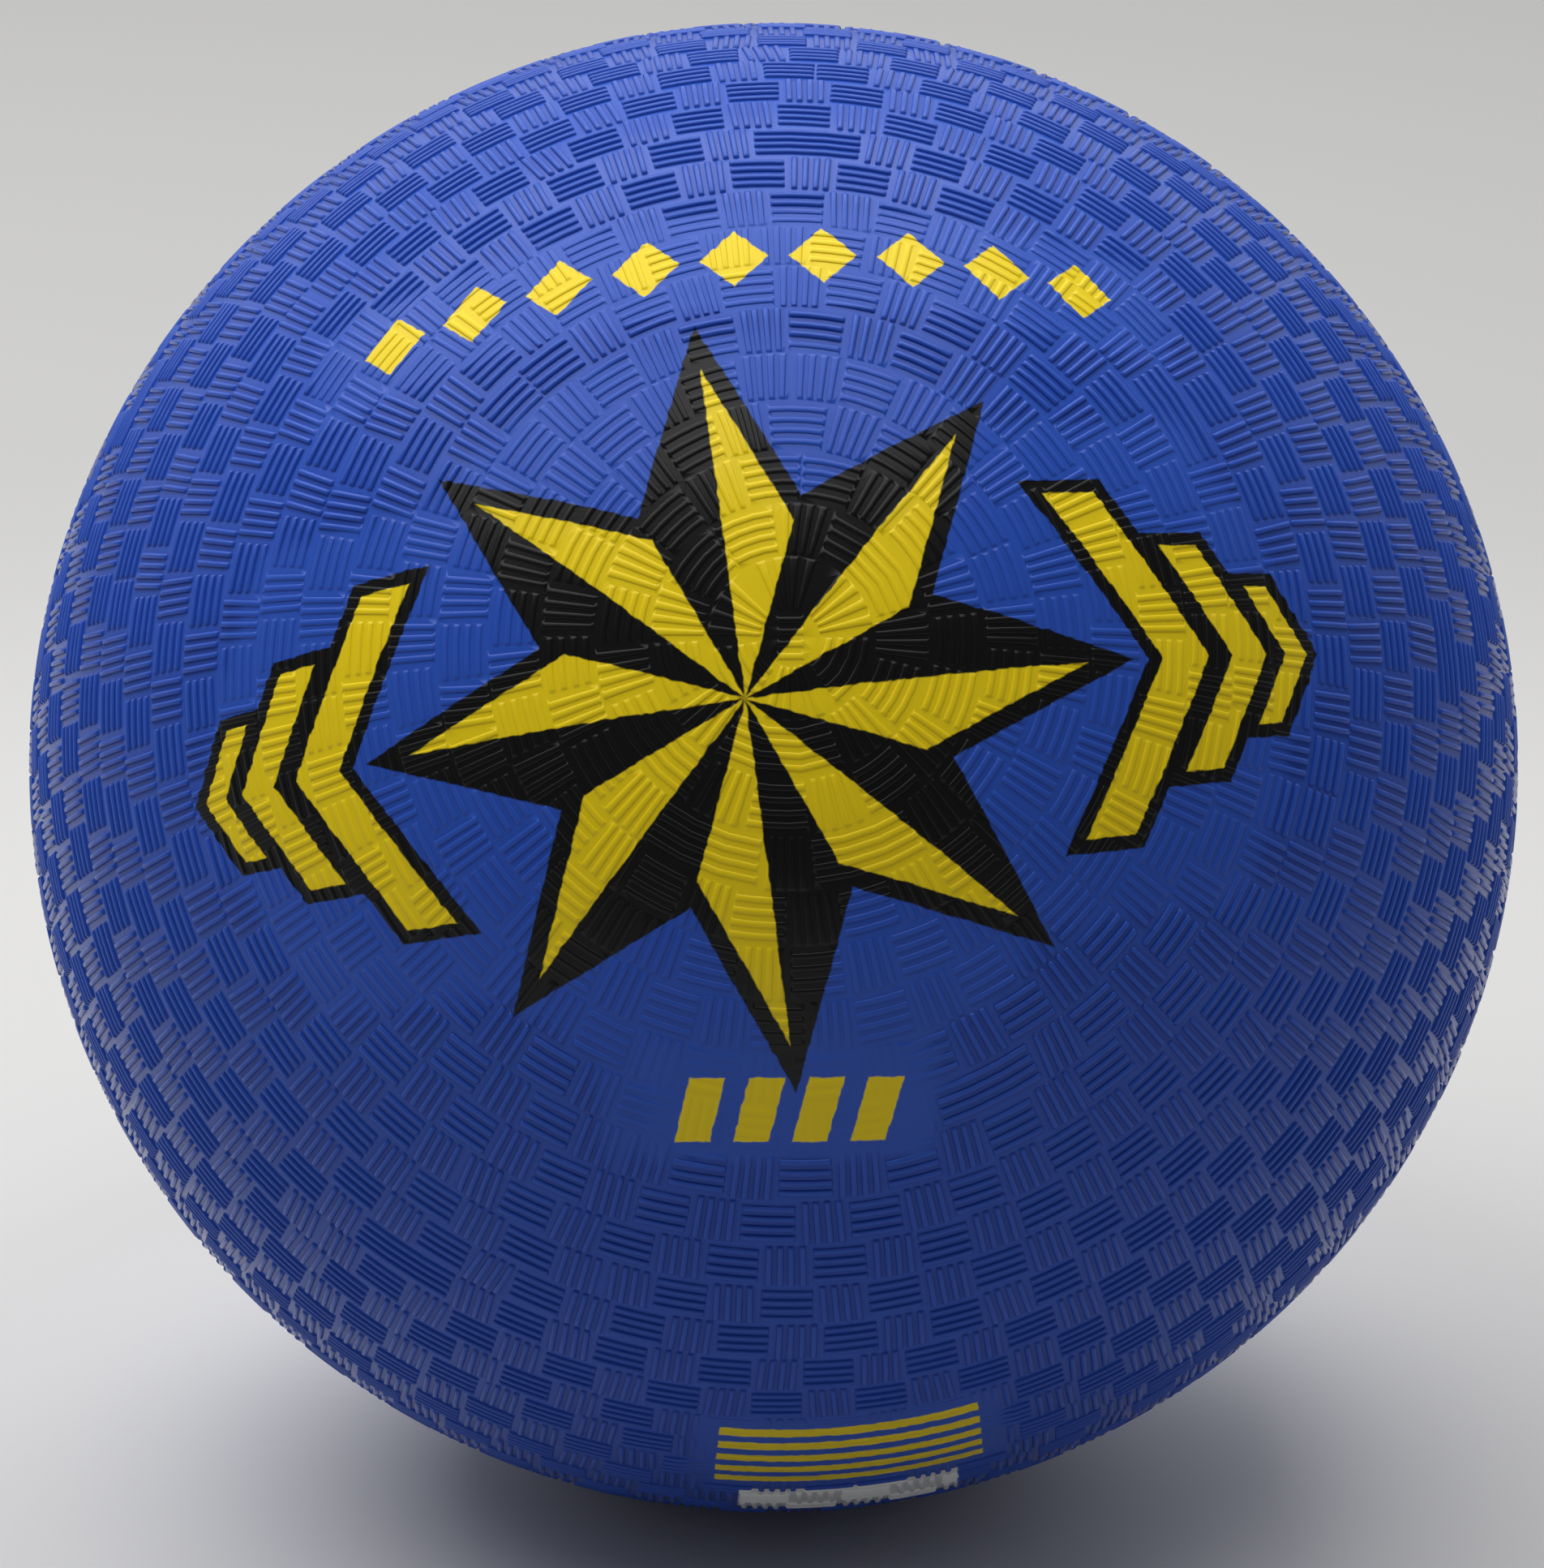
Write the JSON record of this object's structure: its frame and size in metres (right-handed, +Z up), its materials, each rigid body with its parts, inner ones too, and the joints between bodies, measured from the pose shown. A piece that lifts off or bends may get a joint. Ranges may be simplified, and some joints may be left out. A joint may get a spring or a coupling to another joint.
{
  "type": "playground ball",
  "caption": "Inflatable rubber playground ball with a basket-weave moulded cover over a yarn-wound air bladder and a self-sealing needle valve.",
  "frame": {"origin": "middle of the flat on which the ball rests, on the floor under the middle of the ball", "axes": "+Z up; -Y towards the front of the ball, where the moulded rings have their middle; +X to the right of a viewer who faces the front"},
  "size_m": [0.2158, 0.216, 0.2153],
  "materials": {
    "cover_rubber": "royal blue moulded rubber, semi-gloss, with ribs in a basket weave and a printed figure in yellow and black ink",
    "winding_yarn": "natural nylon yarn in rubber cement",
    "bladder_rubber": "black butyl rubber, matt",
    "patch_rubber": "dark grey rubber sheet, matt",
    "valve_rubber": "black moulded rubber, satin"
  },
  "bodies": {
    "root": {"front_cover": "cover_rubber", "rear_cover": "cover_rubber", "yarn_winding": "winding_yarn", "bladder": "bladder_rubber", "valve_patch": "patch_rubber", "valve_housing": "valve_rubber", "valve_core": "valve_rubber"}
  },
  "joints": []
}
